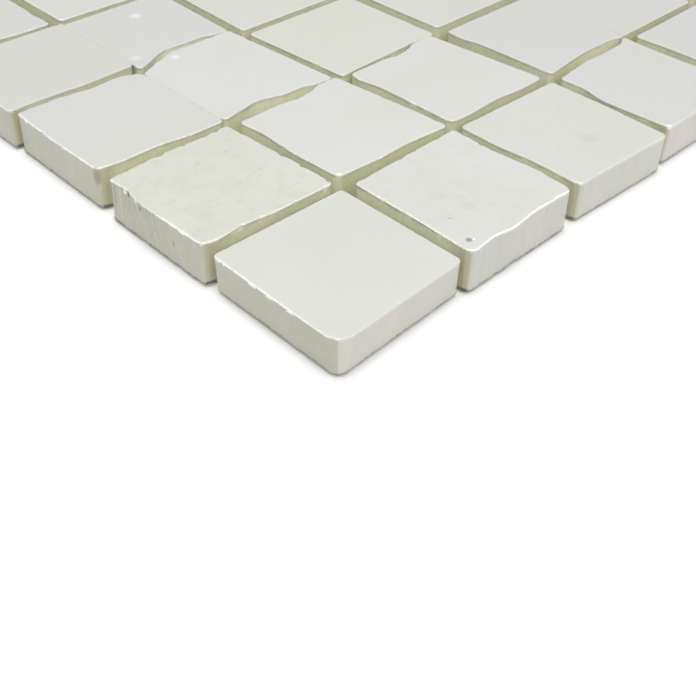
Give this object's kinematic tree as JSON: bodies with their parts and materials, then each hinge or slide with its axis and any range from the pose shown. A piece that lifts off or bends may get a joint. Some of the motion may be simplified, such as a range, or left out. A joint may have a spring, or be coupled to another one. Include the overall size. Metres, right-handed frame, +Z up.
{
  "type": "mosaic tile sheet",
  "caption": "Flat square sheet of small square glazed ceramic tiles with hand-worked edges and open joints, held by a glass-fibre net glued across their backs.",
  "frame": {"origin": "middle of the sheet, on the underside of the backing net, where the sheet is bedded", "axes": "+Z up through the glazed faces, X along a row of tiles, Y from row to row"},
  "size_m": [0.299, 0.2992, 0.0074],
  "materials": {
    "glazed_tile": "glossy off-white glaze, with warm and cool mottling, over an unglazed cream-grey body",
    "net": "open white glass-fibre net with dried glue"
  },
  "bodies": {
    "root": {"backing_net": "net", "tile_row_01": "glazed_tile", "tile_row_02": "glazed_tile", "tile_row_03": "glazed_tile", "tile_row_04": "glazed_tile", "tile_row_05": "glazed_tile", "tile_row_06": "glazed_tile", "tile_row_07": "glazed_tile", "tile_row_08": "glazed_tile", "tile_row_09": "glazed_tile", "tile_row_10": "glazed_tile", "tile_row_11": "glazed_tile", "tile_row_12": "glazed_tile"}
  },
  "joints": []
}
